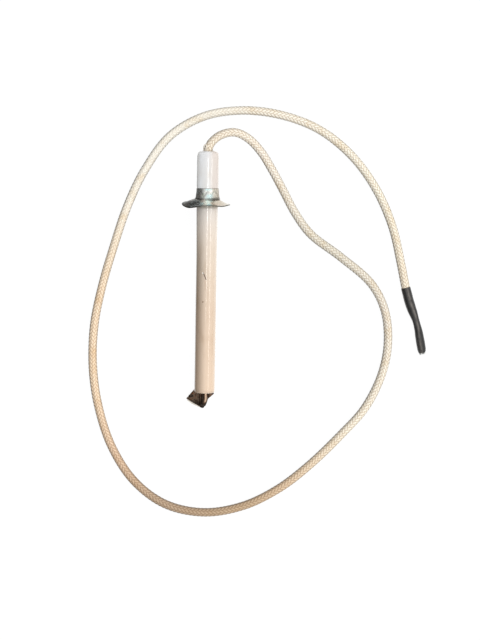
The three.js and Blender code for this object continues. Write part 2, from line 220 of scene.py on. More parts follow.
class Line:
    """A smooth line with its arc length and a frame beside it that doesn't twist."""

    def __init__(self, points):
        self.points = catmull_rom(points)
        steps = np.linalg.norm(np.diff(self.points, axis=0), axis=1)
        self.distance = np.concatenate([[0], np.cumsum(steps)])
        self.length = self.distance[-1]
        self.tangent = np.gradient(self.points, self.distance, axis=0)
        self.tangent /= np.linalg.norm(self.tangent, axis=1)[:, None]
        across = Vector(self.tangent[0]).orthogonal().normalized()
        sides = []
        for tangent in self.tangent:
            tangent = Vector(tangent)
            across = (across - across.dot(tangent) * tangent).normalized()
            sides.append(across.copy())
        self.side = np.array(sides)

    def at(self, distance):
        """Points and two sideways directions at these distances along the line."""
        point, tangent, side = (
            np.stack([np.interp(distance, self.distance, c[:, k]) for k in range(3)], -1)
            for c in (self.points, self.tangent, self.side)
        )
        tangent /= np.linalg.norm(tangent, axis=-1, keepdims=True)
        side -= (side * tangent).sum(-1, keepdims=True) * tangent
        side /= np.linalg.norm(side, axis=-1, keepdims=True)
        return point, side, np.cross(tangent, side)

    def around(self, distance, radius, angle):
        """Points this far from the line at these distances and angles, and the directions they lie in."""
        point, side, up = self.at(distance)
        cosine, sine = np.cos(angle)[..., None], np.sin(angle)[..., None]
        outward = side[:, None] * cosine + up[:, None] * sine
        return point[:, None] + outward * radius, outward

    def nearest(self, point):
        """The distance along the line of its closest point to this one."""
        gap = np.linalg.norm(self.points - np.array(point), axis=1)
        return float(self.distance[gap.argmin()])


# ---------------------------------------------------------------- meshes


def add_object(name, data):
    made = bpy.data.objects.new(name, data)
    bpy.context.scene.collection.objects.link(made)
    return made


def new_mesh(name, points, faces):
    mesh = bpy.data.meshes.new(name)
    mesh.from_pydata(np.asarray(points).tolist(), [], [list(map(int, f)) for f in faces])
    return mesh


def store(mesh, place, values):
    """Keeps on each point its place in the piece's own frame and named values, for the material."""
    if place is not None:
        layer = mesh.attributes.new("place", "FLOAT_VECTOR", "POINT")
        layer.data.foreach_set("vector", np.asarray(place, np.float32).ravel())
    for key, value in values.items():
        layer = mesh.attributes.new(key, "FLOAT", "POINT")
        layer.data.foreach_set("value", np.asarray(value, np.float32).ravel())


def dressed(piece, finish):
    """The piece with smooth shading and its material, riding on the body."""
    piece.data.shade_smooth()
    piece.data.materials.append(finish)
    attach(piece, "root")
    return piece


def make_piece(name, points, faces, finish, slot, place=None, **values):
    """A closed mesh in the row frame, with its normals outward."""
    mesh = new_mesh(name, points, faces)
    body = bmesh.new()
    body.from_mesh(mesh)
    if body.calc_volume(signed=True) < 0:
        bmesh.ops.reverse_faces(body, faces=body.faces)
    body.to_mesh(mesh)
    body.free()
    store(mesh, place, values)
    return dressed(add_object(name, mesh), finish)


def make_sheet(name, points, faces, thickness, finish, slot, place, **values):
    """A piece of sheet metal: the surface given thickness, with its unused points removed."""
    mesh = new_mesh(name, points, faces)
    store(mesh, place, values)
    body = bmesh.new()
    body.from_mesh(mesh)
    loose = [v for v in body.verts if not v.link_faces]
    bmesh.ops.delete(body, geom=loose, context="VERTS")
    bmesh.ops.recalc_face_normals(body, faces=body.faces)
    body.to_mesh(mesh)
    body.free()
    piece = add_object(name, mesh)
    solid = piece.modifiers.new("thickness", "SOLIDIFY")
    solid.thickness = thickness
    solid.offset = 0
    graph = bpy.context.evaluated_depsgraph_get()
    piece.data = bpy.data.meshes.new_from_object(
        piece.evaluated_get(graph), preserve_all_data_layers=True, depsgraph=graph
    )
    piece.modifiers.clear()
    return dressed(piece, finish)


def skin(rings, sides, loop=False):
    """Faces over rings of equally many points. The ends are capped, unless the rings form a loop."""
    grid = np.arange(rings * sides).reshape(rings, sides)
    turned = np.roll(grid, -1, axis=1)
    last = rings if loop else rings - 1
    ahead, ahead_turned = np.roll(grid, -1, axis=0), np.roll(turned, -1, axis=0)
    quads = np.stack([grid, turned, ahead_turned, ahead], -1)[:last].reshape(-1, 4).tolist()
    return quads if loop else [*quads, grid[0][::-1].tolist(), grid[-1].tolist()]


def moved(points, matrix):
    """Points of a local frame, in the row frame."""
    m = np.array(matrix)
    return np.asarray(points) @ m[:3, :3].T + m[:3, 3]


def rounded(corners, steps=6):
    """A closed outline of (radius, station) from corners of (radius, station, rounding)."""
    outline = []
    corners = [np.array(c, float) for c in corners]
    for before, corner, after in zip(corners[-1:] + corners[:-1], corners, corners[1:] + corners[:1]):
        here, cut = corner[:2], corner[2]
        if cut == 0:
            outline.append(here)
            continue
        start = here + (before[:2] - here) * cut / np.linalg.norm(before[:2] - here)
        end = here + (after[:2] - here) * cut / np.linalg.norm(after[:2] - here)
        for t in np.linspace(0, 1, steps + 1):
            outline.append((1 - t) ** 2 * start + 2 * t * (1 - t) * here + t**2 * end)
    return np.array(outline)


def subdivided(outline, longest):
    """The closed outline with its long stretches cut into steps no longer than this."""
    points = []
    for start, end in zip(outline, np.roll(outline, -1, axis=0)):
        count = max(1, math.ceil(np.linalg.norm(end - start) / longest))
        points += [start + (end - start) * k / count for k in range(count)]
    return np.array(points)


def turned_points(outline, sides):
    """Radii, angles and stations of an outline turned about the Y axis. Angle 0 is up."""
    angle = 2 * math.pi * np.arange(sides) / sides
    radius = outline[:, :1] * np.ones(sides)
    station = outline[:, 1:] * np.ones(sides)
    angle = np.ones((len(outline), 1)) * angle
    return radius, angle, station


def from_polar(radius, angle, station):
    """Local points from radius, angle from the top towards +X, and station."""
    local = np.stack([radius * np.sin(angle), station, radius * np.cos(angle)], -1)
    return local.reshape(-1, 3)


def turned_piece(name, rings, local, finish, slot, matrix=PROBE, **values):
    """A ring-shaped piece from the local points of an outline turned about the Y axis."""
    faces = skin(rings, len(local) // rings, True)
    return make_piece(name, moved(local, matrix), faces, finish, slot, local, **values)


def ripple(points, scale, seed):
    """Smooth noise from -1 to 1 at each point, with features about this long."""
    offset = Vector((seed * 7.31, seed * 3.17, seed * 1.93))
    return np.array([noise.noise(Vector(p) / scale + offset) for p in points])


# ---------------------------------------------------------------- finishes


def srgb(red, green, blue):
    """A display colour of 0 to 255 per channel as the shader's linear colour."""
    def linear(value):
        value /= 255
        return value / 12.92 if value <= 0.04045 else ((value + 0.055) / 1.055) ** 2.4
    return (linear(red), linear(green), linear(blue), 1)


class Nodes:
    """Short calls for the nodes of a material or a world.

    Colours are display colours of 0 to 255 per channel, or the outputs of nodes.
    """

    def __init__(self, owner):
        owner.use_nodes = True
        self.tree = owner.node_tree

    def feed(self, socket, value):
        if isinstance(value, bpy.types.NodeSocket):
            self.tree.links.new(value, socket)
        else:
            socket.default_value = value

    def node(self, kind, inputs, output=0, **settings):
        made = self.tree.nodes.new("ShaderNode" + kind)
        for key, value in settings.items():
            setattr(made, key, value)
        for key, value in inputs.items():
            self.feed(made.inputs[key], value)
        return made.outputs[output]

    def by_ray(self, kind, chosen, otherwise):
        """One shader for rays of this kind and another for the rest."""
        return self.node("MixShader", {0: self.node("LightPath", {}, kind), 1: otherwise, 2: chosen})

    def show(self, shader, output):
        self.feed(self.tree.nodes[output].inputs["Surface"], shader)

    def place(self):
        """Position in the piece's own frame, in metres."""
        return self.node("Attribute", {}, "Vector", attribute_name="place")

    def value(self, name):
        return self.node("Attribute", {}, "Fac", attribute_name=name)

    def world(self):
        return self.node("TexCoord", {}, "Object")

    def axis(self, vector, letter):
        return self.node("SeparateXYZ", {0: vector}, letter)

    def math(self, operation, *values, clamp=False):
        return self.node("Math", dict(enumerate(values)), operation=operation, use_clamp=clamp)

    def times(self, first, second):
        return self.math("MULTIPLY", first, second)

    def vector(self, operation, first, second, output=0):
        return self.node("VectorMath", {0: first, 1: second}, output, operation=operation)

    def noise(self, vector, scale, detail=2.0, roughness=0.5):
        inputs = {"Vector": vector, "Scale": scale, "Detail": detail, "Roughness": roughness}
        return self.node("TexNoise", inputs, "Fac")

    def stretched_noise(self, vector, scales, *settings):
        """Noise with its own number of features per metre along each axis."""
        return self.noise(self.vector("MULTIPLY", vector, scales), *settings)

    def step(self, value, low, high):
        """0 below low, 1 above high, smooth between; high below low turns it over."""
        inputs = {"Value": value, "From Min": low, "From Max": high}
        return self.node("MapRange", inputs, interpolation_type="SMOOTHSTEP")

    def ramp(self, factor, *stops):
        """A colour that changes with the factor through stops of (position, display colour)."""
        made = self.tree.nodes.new("ShaderNodeValToRGB")
        self.feed(made.inputs[0], factor)
        elements = made.color_ramp.elements
        while len(elements) < len(stops):
            elements.new(0.5)
        for element, (position, colour) in zip(elements, stops):
            element.position = position
            element.color = srgb(*colour)
        return made.outputs[0]

    def mix(self, factor, first, second, blend="MIX"):
        first, second = (srgb(*c) if isinstance(c, tuple) else c for c in (first, second))
        inputs = {0: factor, 6: first, 7: second}
        return self.node("Mix", inputs, 2, data_type="RGBA", blend_type=blend)

    def bump(self, height, distance, strength=1.0):
        return self.node("Bump", {"Height": height, "Distance": distance, "Strength": strength})

    def stroke(self, place, start, end, width):
        """1 on a soft line on the upper side of a piece, 0 away from it; sizes are in millimetres."""
        x0, y0, x1, y1, width = (value * MM for value in (*start, *end, width))
        length = math.hypot(x1 - x0, y1 - y0)
        along = Vector(((x1 - x0) / length, (y1 - y0) / length, 0))
        flat = self.vector("MULTIPLY", place, (1, 1, 0))
        away = self.vector("SUBTRACT", flat, (x0, y0, 0))
        reach = self.vector("DOT_PRODUCT", away, along, "Value")
        held = self.node("Clamp", {"Value": reach, "Min": 0.0, "Max": length})
        foot = self.node("VectorMath", {0: along, "Scale": held}, operation="SCALE")
        near = self.step(self.vector("DISTANCE", away, foot, "Value"), width, width * 0.3)
        return self.times(near, self.math("GREATER_THAN", self.axis(place, "Z"), 0.0))


class Finish(Nodes):
    """A Principled material whose colour is laid on in coats."""

    def __init__(self, name, **sockets):
        self.material = bpy.data.materials.new(name)
        super().__init__(self.material)
        self.surface = self.tree.nodes["Principled BSDF"]
        self.colour = None
        self.set(**sockets)

    def set(self, **sockets):
        for key, value in sockets.items():
            self.feed(self.surface.inputs[key.replace("_", " ").title()], value)

    def lay(self, factor, colour, share=None, blend="MIX"):
        """Lays a colour over the present one, by this factor or by this share of it."""
        if share is not None:
            factor = self.times(factor, share)
        self.colour = self.mix(factor, self.colour, colour, blend)

    def done(self, **sockets):
        """The material, with the colour laid so far and these sockets."""
        self.set(base_color=self.colour, **sockets)
        return self.material


def glaze_finish():
    """Glazed porcelain, white at the head and warmer towards the flame, with a scratch and a brown spot,
    painted shade down the body's left and under the flange's lip, and painted light on the head's left and
    painted shade on its right.
    """
    finish = Finish("glazed_ceramic", coat_weight=0.6, coat_roughness=0.05)
    place = finish.place()
    side, station = finish.axis(place, "X"), finish.axis(place, "Y")
    finish.colour = finish.ramp(
        finish.math("DIVIDE", station, CERAMIC_LENGTH),
        (0.0, (214, 189, 164)), (0.35, (208, 185, 162)), (0.6, (211, 195, 177)),
        (0.78, (221, 213, 205)), (0.83, (221, 219, 216)), (1.0, (223, 222, 222)),
    )
    # Painted shade down the left side of the body, fading out towards the head.
    grime = finish.times(finish.step(side, 0.5 * MM, -5 * MM), finish.step(station, 88 * MM, 58 * MM))
    finish.lay(grime, (150, 142, 132), 0.55, "MULTIPLY")
    head = finish.step(station, 93 * MM, 98 * MM)
    # On the head, painted light on the left side and painted shade on the right side.
    finish.lay(finish.times(head, finish.step(side, -0.8 * MM, -4 * MM)), (249, 249, 249))
    finish.lay(finish.times(head, finish.step(side, 0, 3 * MM)), (206, 196, 188))
    # Painted shadow on the body just under the flange's lip.
    under_lip = finish.step(station, 89.6 * MM, LIP_STATION)
    dirt = finish.times(under_lip, finish.step(station, 96 * MM, 94 * MM))
    finish.lay(dirt, (128, 122, 98), 0.8, "MULTIPLY")
    cloud = finish.stretched_noise(place, (220, 60, 220), 1.0, 3.0, 0.6)
    finish.lay(finish.step(cloud, 0.45, 0.95), (232, 224, 214), blend="MULTIPLY")
    specks = finish.step(finish.noise(place, 1600.0, 1.0), 0.76, 0.82)
    finish.lay(finish.times(specks, finish.step(station, 94 * MM, 88 * MM)), (150, 118, 92))
    scratch = finish.stroke(place, *SCRATCH)
    finish.lay(finish.stroke(place, *SMEAR), (170, 130, 100), 0.25)
    finish.lay(scratch, (92, 66, 48))
    finish.lay(finish.stroke(place, *CHIP), (246, 240, 230))
    finish.lay(finish.stroke(place, *SPOT), (120, 92, 72), 0.8)
    stain = finish.noise(place, 900.0, 3.0, 0.6)
    soot = finish.times(finish.step(station, 2.2 * MM, 0.2 * MM), finish.step(stain, 0.42, 0.62))
    finish.lay(soot, (128, 104, 86), 0.45)
    waves = finish.stretched_noise(place, (420, 90, 420), 1.0, 2.0)
    body = finish.times(finish.step(station, 92 * MM, 40 * MM), 0.1)
    worn = finish.times(finish.math("ADD", scratch, soot), 0.4)
    dull = finish.math("ADD", body, worn)
    return finish.done(
        roughness=finish.math("ADD", dull, 0.07, clamp=True),
        normal=finish.bump(waves, 0.012 * MM, 0.6),
    )


def cement_finish():
    finish = Finish("cement", roughness=0.9)
    place = finish.place()
    grain = finish.noise(place, 2600.0, 4.0, 0.7)
    blotch = finish.noise(place, 700.0, 2.0)
    finish.colour = finish.ramp(grain, (0.3, (176, 160, 138)), (0.65, (226, 214, 194)))
    finish.lay(finish.step(blotch, 0.5, 0.75), (150, 124, 98))
    return finish.done(normal=finish.bump(grain, 0.15 * MM))


def zinc_finish():
    """Zinc plate with a thin iridescent chromate film and dirt spots, with painted shade on its left, in
    the creases, under the plate and at the neck's right edge, and a painted warm reflection on its right.
    """
    finish = Finish("plated_steel", metallic=0.75)
    place = finish.place()
    side, station = finish.axis(place, "X"), finish.axis(place, "Y")
    film = finish.noise(place, 200.0, 3.0, 0.55)
    finish.colour = finish.ramp(
        film,
        (0.32, (214, 224, 222)), (0.44, (216, 240, 238)), (0.52, (236, 240, 230)),
        (0.6, (236, 224, 214)), (0.72, (214, 208, 190)),
    )
    collar = finish.step(station, SEAT_STATION, NECK_FOOT)
    # The right side painted as a warm reflection of the right-hand light, tan on the plate and cream on the
    # neck.
    warm = finish.mix(collar, (172, 158, 138), (222, 198, 176))
    finish.lay(finish.step(side, 0.8 * MM, 3.5 * MM), warm, 0.85)
    finish.lay(collar, (232, 243, 248), blend="MULTIPLY")
    # Noise for the dirt spots off the middle, which also breaks up the painted shade on the left.
    dirt = finish.noise(place, 1100.0, 4.0, 0.65)
    off_middle = finish.step(finish.math("ABSOLUTE", side), 0, 3 * MM)
    finish.lay(finish.times(finish.step(dirt, 0.56, 0.8), off_middle), (120, 114, 100))

    # Painted shade starts left of the middle, with an edge that wanders and fades low down.
    low = finish.step(finish.axis(place, "Z"), -1 * MM, -9 * MM)
    wander = finish.math("ADD", finish.math("MULTIPLY_ADD", film, 9 * MM, -4.5 * MM), 3.5 * MM)
    reach = finish.math("MULTIPLY_ADD", collar, -0.8 * MM, side)
    reach = finish.math("ADD", reach, finish.times(low, wander))
    tarnish = finish.times(finish.step(reach, -1.5 * MM, -4.2 * MM), finish.step(dirt, 0.78, 0.48))
    tarnish = finish.times(tarnish, finish.math("MULTIPLY_ADD", low, -0.6, 1.0))
    finish.lay(tarnish, finish.mix(collar, (32, 29, 24), (142, 139, 134)), 0.96)
    # Painted shade along the right edge of the neck's foot.
    neck = finish.step(station, 94.8 * MM, 95.4 * MM)
    finish.lay(finish.times(finish.step(side, 4.0 * MM, 5.2 * MM), neck), (110, 96, 80), 0.5)
    # Painted shade under the plate, along its rim, round its root and in the neck's crimps and seam.
    finish.lay(finish.value("crease"), (52, 50, 42), 0.8)
    scuffs = finish.stretched_noise(place, (900, 300, 900), 2.0, 4.0, 0.7)
    return finish.done(
        roughness=finish.step(scuffs, -0.1, 1.7),
        normal=finish.bump(scuffs, 0.03 * MM, 0.5),
    )


def oxide_finish():
    """Heat-resisting sheet and rod, browned by the flame: mottled and rust-red, with painted shade in the
    folds and on the rod's flanks, and painted highlights on the rod's top and the flag's hem.
    """
    finish = Finish("oxidised_steel", metallic=0.7)
    place = finish.place()
    finish.colour = finish.ramp(
        finish.noise(place, 760.0, 5.0, 0.65),
        (0.34, (16, 11, 7)), (0.44, (66, 48, 34)), (0.52, (112, 96, 80)), (0.6, (78, 52, 32)),
        (0.68, (38, 24, 14)),
    )
    rust = finish.step(finish.noise(place, 1300.0, 3.0, 0.6), 0.52, 0.68)
    finish.lay(rust, (112, 60, 26), 0.8)
    soot = finish.step(finish.axis(place, "Y"), -3.6 * MM, -5.6 * MM)
    # Soot towards the tip, and painted shade in the flag's folds, under its upper leaf and on the rod's
    # flanks.
    finish.lay(finish.math("MAXIMUM", soot, finish.value("crease")), (22, 15, 8), 0.8)
    # Painted highlights along the rod's top and along the flag's hem.
    bare = finish.value("bare")
    metal = finish.ramp(bare, (0.0, (120, 84, 58)), (0.6, (206, 178, 152)), (1.0, (236, 228, 214)))
    finish.lay(finish.step(bare, 0.0, 0.6), metal)
    scale = finish.noise(place, 2400.0, 4.0, 0.7)
    return finish.done(
        roughness=finish.step(scale, -0.4, 1.5),
        normal=finish.bump(scale, 0.06 * MM, 0.8),
    )


def drawn_metal_finish(name, light, dark, roughness):
    """Plain metal with fine drawing marks, for the splice, the wire and the terminal."""
    finish = Finish(name, metallic=1.0, roughness=roughness)
    marks = finish.stretched_noise(finish.world(), (2400, 300, 2400), 1.0, 3.0)
    finish.colour = finish.ramp(marks, (0.3, dark), (0.7, light))
    return finish.done(normal=finish.bump(marks, 0.02 * MM, 0.5))


def silicone_finish():
    finish = Finish("silicone", subsurface_weight=0.1)
    dust = finish.noise(finish.world(), 800.0, 3.0)
    finish.colour = finish.ramp(dust, (0.3, (196, 188, 176)), (0.7, (222, 214, 202)))
    return finish.done(roughness=finish.step(dust, -0.6, 1.4))


def braid_finish():
    """Woven glass-fibre yarn: fine filaments along each strand, painted shade in the gaps and on the
    flanks, tan heat stains.
    """
    finish = Finish("fibreglass_braid", roughness=0.62, sheen_weight=0.25, sheen_roughness=0.5)
    strand = finish.node("UVMap", {}, uv_map="strand")
    fibres = finish.stretched_noise(strand, (16.0, 1.1, 0.0), 1.0, 3.0, 0.6)
    run = finish.value("run")
    tint = finish.ramp(
        run,
        (0.0, (232, 218, 194)), (0.06, (234, 225, 211)), (0.15, (218, 212, 196)),
        (0.21, (227, 218, 203)), (0.3, (234, 224, 204)), (0.33, (225, 205, 176)),
        (0.36, (207, 177, 141)), (0.39, (183, 151, 111)), (0.43, (168, 136, 100)),
        (0.46, (172, 141, 107)), (0.5, (211, 177, 143)), (0.55, (236, 208, 174)),
        (0.62, (239, 214, 183)), (0.66, (239, 222, 197)), (0.7, (243, 236, 223)),
        (0.75, (245, 238, 223)), (0.83, (239, 231, 215)), (0.92, (235, 228, 210)),
        (1.0, (228, 214, 191)),
    )
    finish.colour = tint
    finish.lay(finish.step(fibres, 0.2, 0.75), (250, 244, 232), 0.2)
    blotch = finish.noise(finish.world(), 160.0, 3.0, 0.6)
    finish.lay(finish.step(blotch, 0.48, 0.8), (242, 232, 216), blend="MULTIPLY")
    # Painted shade in the gaps between the strands, fainter along one run of the lead.
    clean_run = finish.times(finish.step(run, 0.62, 0.7), finish.step(run, 0.82, 0.77))
    gap = finish.step(finish.value("relief"), 0.75, 0.05)
    grime = finish.mix(1.0, tint, (170, 146, 116), "MULTIPLY")
    finish.lay(gap, grime, finish.math("MULTIPLY_ADD", clean_run, -0.4, 0.6))
    # Painted shade on the flanks.
    finish.lay(finish.value("flank"), (156, 154, 153), blend="MULTIPLY")
    return finish.done(normal=finish.bump(fibres, 0.07 * MM, 0.8))


def shrink_finish():
    """Black heat-shrink tube: satin and dusty, with a painted grey highlight along its top."""
    finish = Finish("heat_shrink")
    scuff = finish.stretched_noise(finish.place(), (900, 260, 900), 1.0, 4.0, 0.6)
    finish.colour = finish.ramp(scuff, (0.35, (9, 8, 7)), (0.7, (31, 29, 26)))
    # Painted grey highlight along the top, broken up by the scuffs.
    finish.lay(finish.value("rubbed"), (108, 102, 95), finish.step(scuff, 0.25, 0.6))
    return finish.done(
        roughness=finish.step(scuff, -0.3, 1.6),
        normal=finish.bump(scuff, 0.06 * MM, 0.8),
    )


# ---------------------------------------------------------------- camera

CAMERA_TARGET = Vector((16.75, -19.75, 0)) * MM
CAMERA_DISTANCE = 1.1
CAMERA_TILT = math.radians(2.8)  # from straight above, towards +Y
CAMERA_ROLL = math.radians(1.0)
FRAME_HEIGHT = 0.3139  # height of the picture at the target
SENSOR_HEIGHT = 24.0


def add_camera():
    data = bpy.data.cameras.new("camera")
    data.sensor_fit = "VERTICAL"
    data.sensor_height = SENSOR_HEIGHT
    data.lens = SENSOR_HEIGHT * CAMERA_DISTANCE / FRAME_HEIGHT
    data.clip_start = 0.01
    camera = add_object("camera", data)
    turn = Matrix.Rotation(-CAMERA_TILT, 4, "X") @ Matrix.Rotation(CAMERA_ROLL, 4, "Z")
    away = Matrix.Translation((0, 0, CAMERA_DISTANCE))
    camera.matrix_world = Matrix.Translation(CAMERA_TARGET) @ turn @ away
    bpy.context.scene.camera = camera


# ---------------------------------------------------------------- lead


def lead_line():
    """The lead's centreline from its bared start in the ceramic to its bared end in the terminal."""
    middle = (CONDUCTOR_START + CERAMIC_LENGTH) / 2
    inside = [on_probe(0, s) for s in (CONDUCTOR_START, middle, CERAMIC_LENGTH)]
    free = [Vector(point) * MM for point in FREE_ROUTE]
    runs = np.linspace(0, CONDUCTOR_RUN, 7)
    return Line([*inside, *free, *(on_sleeve(run) for run in runs)])


def braid_relief(i, j):
    """Height from 0 to 1 of a two-over, two-under braid at lattice points i, j.

    Strands of one family fill the cells between whole values of i / CELL_STEPS, those of the other
    family between whole values of j / CELL_STEPS. The upper strand of a cell crowns across its own
    width and dives under at both ends of its two-cell float.
    """
    height = np.zeros(i.shape)
    for left in (0, 1):
        for right in (0, 1):
            first = (i - left) // CELL_STEPS
            second = (j - right) // CELL_STEPS
            across_first = i / CELL_STEPS - first
            across_second = j / CELL_STEPS - second
            order = (first + second) % 4
            on_top = order < 2
            across = np.where(on_top, across_first, across_second)
            along = np.where(on_top, order + across_second, order - 2 + across_first)
            crown = np.clip(1 - np.abs(2 * across - 1) ** 3, 0, 1) ** 0.6
            dive = np.clip(1 - np.abs(along - 1) ** 3, 0, 1) ** 0.7
            height = np.maximum(height, crown * dive)
    return height


def braid_faces(rows, sides, lining):
    """Faces of the braid's tube, and where the corners of its outer diamonds lie on a strand.

    The diamonds come first. After them come the rings at both ends, and the lining inside.
    """
    k, m = np.mgrid[:rows - 1, :sides]
    odd = k % 2
    ahead = (k + 1) * sides
    right, left = ahead + (m + odd) % sides, ahead + (m + odd - 1) % sides
    faces = np.stack([k * sides + m, right, (k + 2) * sides + m, left], -1).reshape(-1, 4).tolist()
    i, j = (2 * m + odd + k) // 2, (2 * m + odd - k) // 2
    first, second = i // CELL_STEPS, (j - 1) // CELL_STEPS
    corners = []
    for di, dj in ((0, 0), (1, 0), (1, -1), (0, -1)):
        a, b = (i + di) / CELL_STEPS, (j + dj) / CELL_STEPS
        on_first, on_second = a - first + first % STRANDS, b - second + second % STRANDS + STRANDS
        corners.append(np.stack([np.where((first + second) % 4 < 2, on_first, on_second), (a - b) / 2], -1))

    m = np.arange(sides)
    following = np.roll(m, -1)
    ends = ((0, sides, lining[0]), (rows * sides, (rows - 1) * sides, lining[-1]))
    for edge, beyond, _ in ends:
        faces += np.stack([edge + m, edge + following, beyond + m], -1).tolist()
    around = lining[:, following]
    quads = np.stack([lining[:-1], lining[1:], around[1:], around[:-1]], -1)
    faces += quads.reshape(-1, 4).tolist()
    for edge, _, inside in ends:
        faces += np.stack([edge + m, edge + following, inside[following], inside], -1).tolist()
    return faces, np.stack(corners, 2).ravel()


def braided_lead(line, finish):
    """The glass-fibre braid as one closed tube whose mesh follows the two families of strands."""
    start = line.nearest(on_probe(0, BRAID_START))
    end = line.nearest(on_sleeve(BRAID_RUN))
    rows_per_pitch = 2 * CELL_STEPS
    pitches = 2 * round((end - start) / STRAND_PITCH / 2)
    rows = pitches * rows_per_pitch
    sides = STRANDS * CELL_STEPS

    row = np.arange(rows + 1)[:, None] * np.ones(sides, int)
    column = 2 * np.arange(sides)[None, :] + row % 2
    relief = braid_relief((column + row) // 2, (column - row) // 2)
    distance = start + (end - start) * row[:, 0] / rows
    twist = 0.7 * np.sin(distance / (61 * MM)) + 0.45 * np.sin(distance / (23 * MM) + 1)  # radians
    middle = line.at(distance)[0]
    slack = ripple(middle, 9 * MM, 1)[:, None]
    radius = GROOVE_TO_AXIS + (CROWN_HEIGHT + 0.03 * MM * slack) * relief
    outer, outward = line.around(distance, radius[..., None], math.pi * column / sides + twist[:, None])
    outer[..., 2] = np.maximum(outer[..., 2], 0)  # flattened where it lies on the floor
    inner_rows = np.arange(0, rows + 1, 2 * rows_per_pitch)
    inner = middle[inner_rows, None] + outward[inner_rows] * BRAID_INNER
    lining = np.arange(len(inner_rows) * sides).reshape(-1, sides) + outer.shape[0] * sides
    faces, strand_places = braid_faces(rows, sides, lining)

    # The flanks are painted darker than the crown as shade, the more so on the side away from the light.
    shaded = np.clip(0.35 * outward[..., 1] - outward[..., 0], 0, 1)
    flank = np.clip((0.8 - outward[..., 2]) / 0.5, 0, 1) * (0.55 + 0.45 * shaded)
    run = np.concatenate([np.repeat(distance, sides), np.repeat(distance[inner_rows], sides)])
    piece = make_piece(
        "braided_lead", np.vstack([outer.reshape(-1, 3), inner.reshape(-1, 3)]), faces, finish,
        "fibreglass_braid",
        relief=np.concatenate([relief.ravel(), np.zeros(lining.size)]),
        run=(run - start) / (end - start),
        flank=np.concatenate([flank.ravel(), np.ones(lining.size)]),
    )
    layer = piece.data.uv_layers.new(name="strand")
    spots = np.zeros(2 * len(layer.data), np.float32)
    spots[:strand_places.size] = strand_places
    layer.data.foreach_set("uv", spots)
    return piece, start, end


def round_tube(name, line, start, end, radius, finish, slot, sides=12, step=2 * MM, **values):
    """A closed tube along part of a line, with any values the same all over."""
    distance = np.linspace(start, end, max(2, round((end - start) / step)))
    angle = 2 * math.pi * np.arange(sides) / sides
    points = line.around(distance, radius, angle)[0].reshape(-1, 3)
    spread = {key: np.full(len(points), value) for key, value in values.items()}
    return make_piece(name, points, skin(len(distance), sides), finish, slot, **spread)


def loose_yarn(finish):
    """One yarn of the braid that has worked loose in a small loop at the ceramic's mouth."""
    loop = (
        (-1.75, -1.6, 0.6), (-1.95, -0.2, 0.7), (-2.2, 1.1, 0.9), (-2.05, 2.2, 1.1), (-1.5, 2.95, 1.3),
        (-0.95, 2.6, 1.5), (-1.0, 1.6, 1.6), (-1.2, 0.4, 1.5), (-1.3, -1.2, 1.3),
    )  # x, station past the ceramic's end and z, in millimetres
    line = Line([on_probe(x * MM, CERAMIC_LENGTH + s * MM, z * MM) for x, s, z in loop])
    return round_tube("loose_yarn", line, 0, line.length, YARN_RADIUS, finish, "fibreglass_braid",
                      sides=8, step=0.15 * MM, relief=0.8, run=0.05, flank=0.15)


# ---------------------------------------------------------------- ceramic and cement


def ceramic_insulator(finish):
    corners = [
        (POT_RADIUS, 0, 0.25 * MM),
        (HOT_RADIUS, 0, 1.1 * MM),
        (HOT_RADIUS, TAPER_START, 0),
        (SHOULDER_RADIUS, TAPER_END, 0),
        (SHOULDER_RADIUS, GROOVE_START, 0.3 * MM),
        (GROOVE_RADIUS, GROOVE_START, 0),
        (GROOVE_RADIUS, GROOVE_END, 0),
        (HEAD_RADIUS, GROOVE_END, 0.35 * MM),
        (HEAD_RADIUS, CERAMIC_LENGTH - 2.2 * MM, 1.1 * MM),
        (HEAD_RADIUS - 0.75 * MM, CERAMIC_LENGTH - 0.4 * MM, 0.85 * MM),
        (MOUTH_RADIUS + 0.3 * MM, CERAMIC_LENGTH, 0.3 * MM),
        (MOUTH_RADIUS, CERAMIC_LENGTH - 0.3 * MM, 0.2 * MM),
        (MOUTH_RADIUS, CERAMIC_LENGTH - MOUTH_DEPTH, 0),
        (CABLE_BORE_RADIUS, CERAMIC_LENGTH - MOUTH_DEPTH, 0),
        (CABLE_BORE_RADIUS, CABLE_BORE_START, 0),
        (ROD_BORE_RADIUS, CABLE_BORE_START, 0),
        (ROD_BORE_RADIUS, POT_DEPTH, 0),
        (POT_RADIUS, POT_DEPTH, 0),
    ]
    outline = subdivided(rounded(corners, 8), 1.6 * MM)
    radius, angle, station = turned_points(outline, 96)
    outside = radius > HOT_RADIUS * 0.97
    wave = np.sin(station / (9 * MM) + 2 * angle) + np.sin(station / (17 * MM) - angle + 1)
    radius = radius + np.where(outside, GLAZE_WAVE * wave, 0)
    local = from_polar(radius, angle, station)
    return turned_piece("ceramic_body", len(outline), local, finish, "glazed_ceramic")


def cement_plug(name, hole, filled, start, end, rough_end, finish):
    """A ring of cement with a rough, domed face at one end."""
    outline = subdivided(rounded([
        (hole, start, 0),
        (filled, start, 0.2 * MM),
        (filled, end, 0.2 * MM),
        (hole, end, 0),
    ]), 0.35 * MM)
    local = from_polar(*turned_points(outline, 48))
    share = np.clip((local[:, 1] - start) / (end - start), 0, 1)
    free = share if rough_end == end else 1 - share
    middle = (hole + filled) / 2
    spread = np.abs(np.hypot(local[:, 0], local[:, 2]) - middle) / (filled - middle)
    lift = (0.35 * (1 - spread**2) + 0.16 * ripple(local, 0.7 * MM, 4)) * MM * free**6
    local[:, 1] += lift if rough_end == end else -lift
    return turned_piece(name, len(outline), local, finish, "cement")


# ---------------------------------------------------------------- flange


